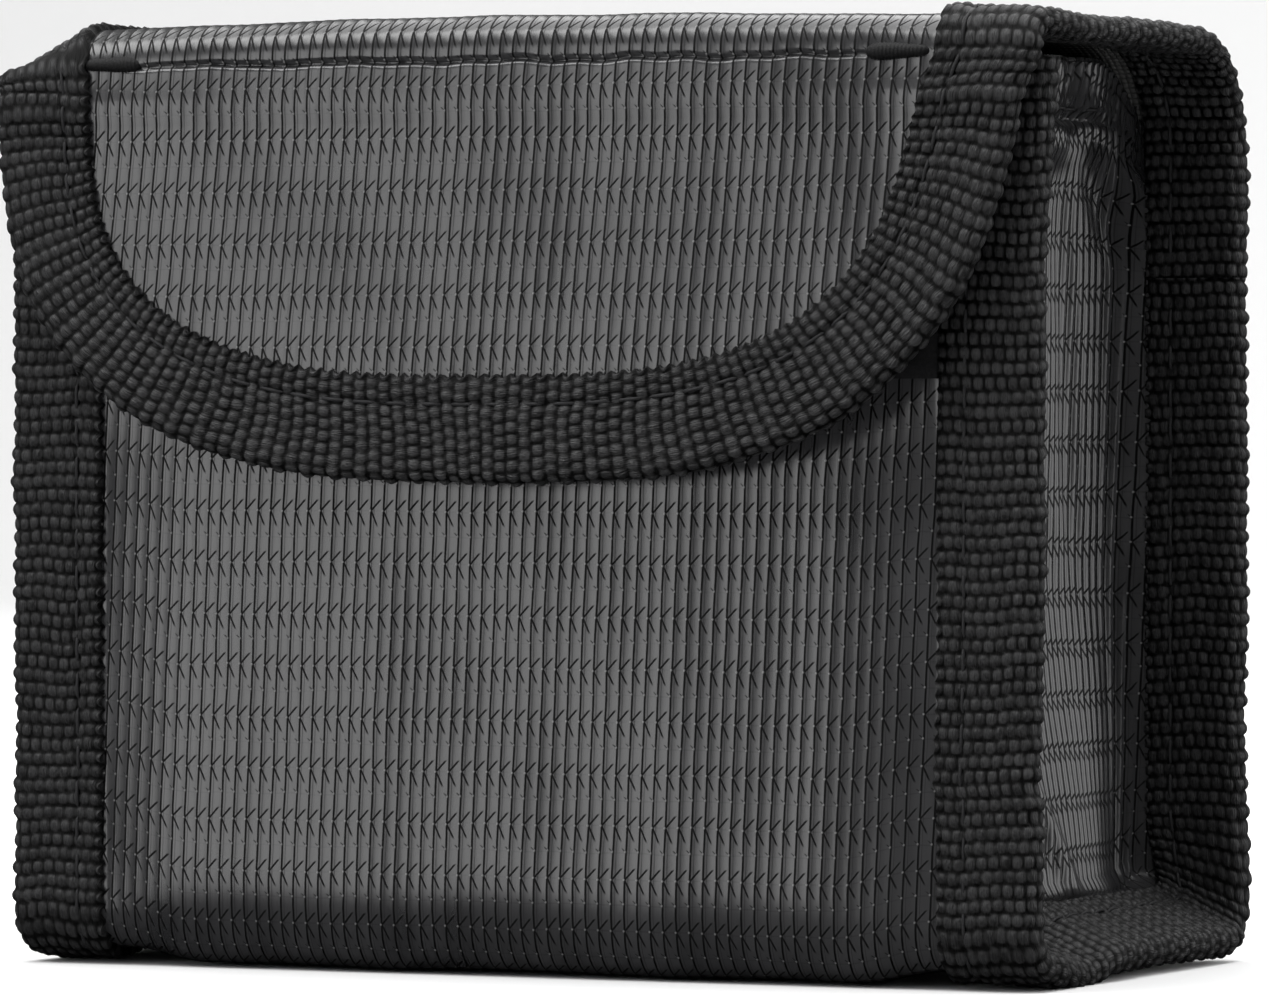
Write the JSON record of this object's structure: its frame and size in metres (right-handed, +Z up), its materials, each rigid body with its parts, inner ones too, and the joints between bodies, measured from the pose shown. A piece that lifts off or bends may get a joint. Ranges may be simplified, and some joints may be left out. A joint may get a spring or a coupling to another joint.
{
  "type": "lipo safe bag",
  "caption": "Boxy sewn battery safe bag with bound side seams, concave gussets, a fold-over lid and a rounded flap closed by hook-and-loop tape.",
  "frame": {"origin": "middle of the overall box, at the surface the bag stands on", "axes": "+X along the bag's width, +Y from the flap side to the back, +Z up"},
  "size_m": [0.12, 0.0662, 0.1023],
  "materials": {
    "coated_cloth": "glossy silicone coat over a ribbed glass-cloth weave",
    "lining": "matt woven glass cloth",
    "binding_tape": "coarse woven nylon webbing",
    "thread": "twisted sewing thread",
    "loop_tape": "soft loop pile",
    "hook_tape": "stiff hook rows"
  },
  "bodies": {
    "bag": {"body_binding_left": "binding_tape", "body_binding_right": "binding_tape", "body_binding_thread_left": "thread", "body_binding_thread_right": "thread", "gusset_hem_thread_left": "thread", "gusset_hem_thread_right": "thread", "loop_strip": "loop_tape", "loop_strip_thread": "thread", "main_wrap": "coated_cloth", "main_wrap_lining": "lining", "mouth_hem_thread": "thread", "side_gusset_left": "coated_cloth", "side_gusset_right": "coated_cloth", "side_lining_left": "lining", "side_lining_right": "lining"},
    "lid": {"lid_binding_left": "binding_tape", "lid_binding_right": "binding_tape", "lid_binding_thread_left": "thread", "lid_binding_thread_right": "thread", "lid_lining": "lining", "lid_panel": "coated_cloth"},
    "flap": {"bar_tack_left": "thread", "bar_tack_right": "thread", "crease_thread": "thread", "flap_binding": "binding_tape", "flap_binding_thread": "thread", "flap_lining": "lining", "flap_panel": "coated_cloth", "hook_strip": "hook_tape", "hook_strip_thread": "thread"}
  },
  "joints": [
    {"name": "lid_fold", "type": "hinge", "parent": "bag", "child": "lid", "pos_m": [0, 0.0331, 0.09], "axis": [-1, 0, 0], "range_deg": [0, 180]},
    {"name": "flap_fold", "type": "hinge", "parent": "lid", "child": "flap", "pos_m": [0, -0.0331, 0.097], "axis": [-1, 0, 0], "range_deg": [0, 180]}
  ]
}
